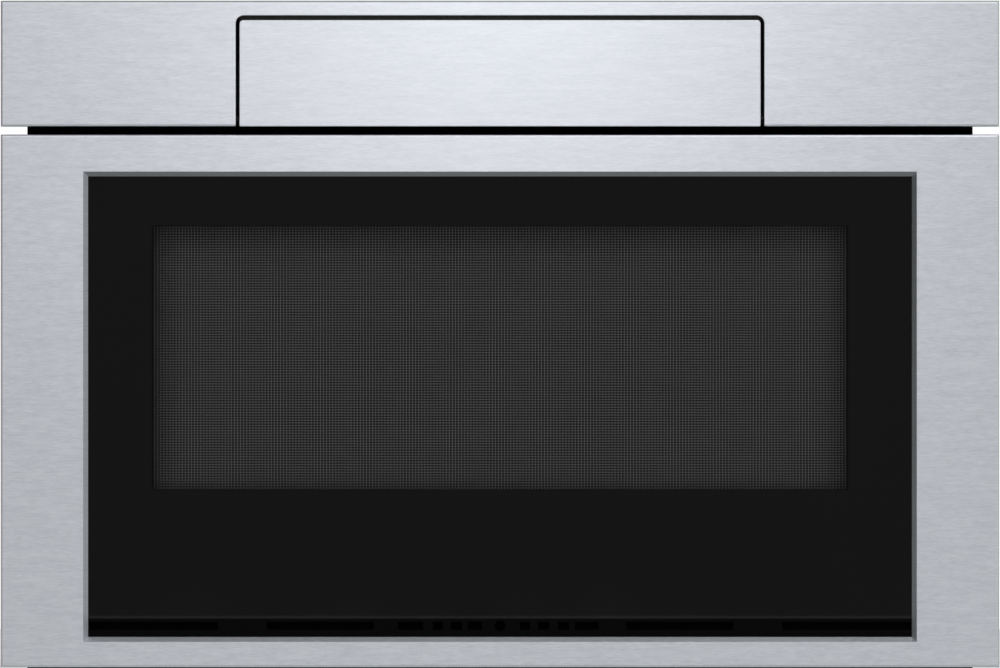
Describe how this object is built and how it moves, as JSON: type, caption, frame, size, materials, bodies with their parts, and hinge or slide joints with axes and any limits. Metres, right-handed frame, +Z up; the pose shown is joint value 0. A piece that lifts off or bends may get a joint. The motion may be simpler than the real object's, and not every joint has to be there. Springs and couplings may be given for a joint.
{
  "type": "microwave drawer",
  "caption": "Built-in microwave drawer with a stainless front, a black glass window, a tilting control flap and a container that slides out on telescopic slides.",
  "frame": {"origin": "middle of the bounding box at the underside of the base", "axes": "+X across the front to the viewer's right, +Y from the front to the back, +Z up"},
  "size_m": [0.7588, 0.594, 0.5076],
  "materials": {
    "stainless": "fine horizontal brushed grain",
    "black_glass": "glossy black tempered glass with a polished lower edge",
    "screen_enamel": "light grey enamelled perforated screen, dark behind the glass",
    "black_plastic": "fine moulded texture",
    "black_steel": "satin black powder coat",
    "zinc_steel": "zinc-plated sheet",
    "cavity_steel": "light grey enamel",
    "glass_ceramic": "satin white glass ceramic",
    "waveguide_aluminium": "mill finish",
    "mica": "pressed mica sheet",
    "motor_case": "zinc-plated motor case",
    "magnetron_metal": "mill finish fins and yoke",
    "core_iron": "varnished laminations",
    "copper": "enamelled copper winding",
    "capacitor_can": "drawn can",
    "grey_plastic": "heat-resistant moulding",
    "acetal": "natural acetal",
    "board_green": "coated circuit board",
    "rubber": "black rubber"
  },
  "bodies": {
    "chassis": {"top_fascia": "stainless", "switch_blocks": "black_plastic", "front_frame": "black_steel", "base_plate": "zinc_steel", "case_wrap": "zinc_steel", "back_plate": "zinc_steel", "mounting_brackets": "zinc_steel", "component_shelf": "zinc_steel", "slide_supports": "zinc_steel", "slide_outers": "zinc_steel", "fascia_backing": "zinc_steel", "flap_brackets": "zinc_steel", "case_screws": "zinc_steel", "cavity_shell": "cavity_steel", "waveguide": "waveguide_aluminium", "waveguide_cover": "mica", "stirrer_motor": "motor_case", "fan_motor": "motor_case", "flap_motor": "motor_case", "drawer_motor": "motor_case", "magnetron": "magnetron_metal", "transformer_core": "core_iron", "transformer_coils": "copper", "capacitor": "capacitor_can", "fan_shroud": "grey_plastic", "cavity_lamp": "grey_plastic", "power_board": "board_green", "control_board": "board_green", "door_bumpers": "rubber", "cord_bush": "rubber"},
    "drawer": {"door_panel": "stainless", "door_glass": "black_glass", "vent_grille": "black_plastic", "door_carrier": "black_steel", "door_screen": "screen_enamel", "choke_frame": "cavity_steel", "choke_cover": "black_plastic", "door_back": "black_steel", "container_walls": "cavity_steel", "container_pan": "cavity_steel", "ceramic_floor": "glass_ceramic", "slide_inners": "zinc_steel", "rail_brackets": "zinc_steel", "rack": "acetal", "rack_beam": "zinc_steel", "latch_strikers": "zinc_steel"},
    "left_middle_rail": {"slide_middle_left": "zinc_steel"},
    "right_middle_rail": {"slide_middle_right": "zinc_steel"},
    "drawer_gear": {"drive_pinion": "acetal"},
    "control_flap": {"flap_skin": "stainless", "flap_body": "black_plastic", "touch_glass": "black_glass", "flap_pins": "zinc_steel", "flap_sector": "acetal"},
    "flap_gear": {"flap_pinion": "acetal"},
    "stirrer": {"stirrer_blade": "waveguide_aluminium"},
    "cooling_fan": {"fan_blade": "grey_plastic"},
    "primary_plunger": {"plunger_primary": "acetal"},
    "secondary_plunger": {"plunger_secondary": "acetal"},
    "monitor_plunger": {"plunger_monitor": "acetal"}
  },
  "joints": [
    {"name": "drawer_slide", "type": "slide", "parent": "chassis", "child": "drawer", "axis": [0, -1, 0], "range_m": [0, 0.381]},
    {"name": "left_rail_slide", "type": "slide", "parent": "chassis", "child": "left_middle_rail", "axis": [0, -1, 0], "range_m": [0, 0.191]},
    {"name": "right_rail_slide", "type": "slide", "parent": "chassis", "child": "right_middle_rail", "axis": [0, -1, 0], "range_m": [0, 0.191]},
    {"name": "drawer_gear_spin", "type": "hinge", "parent": "chassis", "child": "drawer_gear", "pos_m": [0, -0.25, 0.05], "axis": [1, 0, 0], "range_deg": [0, 1820]},
    {"name": "control_flap_tilt", "type": "hinge", "parent": "chassis", "child": "control_flap", "pos_m": [0, -0.291, 0.4181], "axis": [1, 0, 0], "range_deg": [0, 45]},
    {"name": "flap_gear_spin", "type": "hinge", "parent": "chassis", "child": "flap_gear", "pos_m": [0.187, -0.2412, 0.43623], "axis": [1, 0, 0], "range_deg": [-296, 0]},
    {"name": "stirrer_spin", "type": "hinge", "parent": "chassis", "child": "stirrer", "pos_m": [0, -0.06, 0.34], "axis": [0, 0, 1], "continuous": true},
    {"name": "cooling_fan_spin", "type": "hinge", "parent": "chassis", "child": "cooling_fan", "pos_m": [0.19, 0.28, 0.112], "axis": [0, 1, 0], "continuous": true},
    {"name": "primary_switch_press", "type": "slide", "parent": "chassis", "child": "primary_plunger", "axis": [0, 1, 0], "range_m": [0, 0.001], "stiffness_N_per_m": 200, "springref_m": -0.001},
    {"name": "secondary_switch_press", "type": "slide", "parent": "chassis", "child": "secondary_plunger", "axis": [0, 1, 0], "range_m": [0, 0.001], "stiffness_N_per_m": 200, "springref_m": -0.001},
    {"name": "monitor_switch_press", "type": "slide", "parent": "chassis", "child": "monitor_plunger", "axis": [0, 1, 0], "range_m": [0, 0.001], "stiffness_N_per_m": 200, "springref_m": -0.001}
  ],
  "couplings": [
    {"joint": "left_rail_slide", "follows": "drawer_slide", "ratio": 0.5},
    {"joint": "right_rail_slide", "follows": "drawer_slide", "ratio": 0.5},
    {"joint": "drawer_gear_spin", "follows": "drawer_slide", "rad_per_m": 83.333},
    {"joint": "flap_gear_spin", "follows": "control_flap_tilt", "ratio": -6.5714}
  ]
}
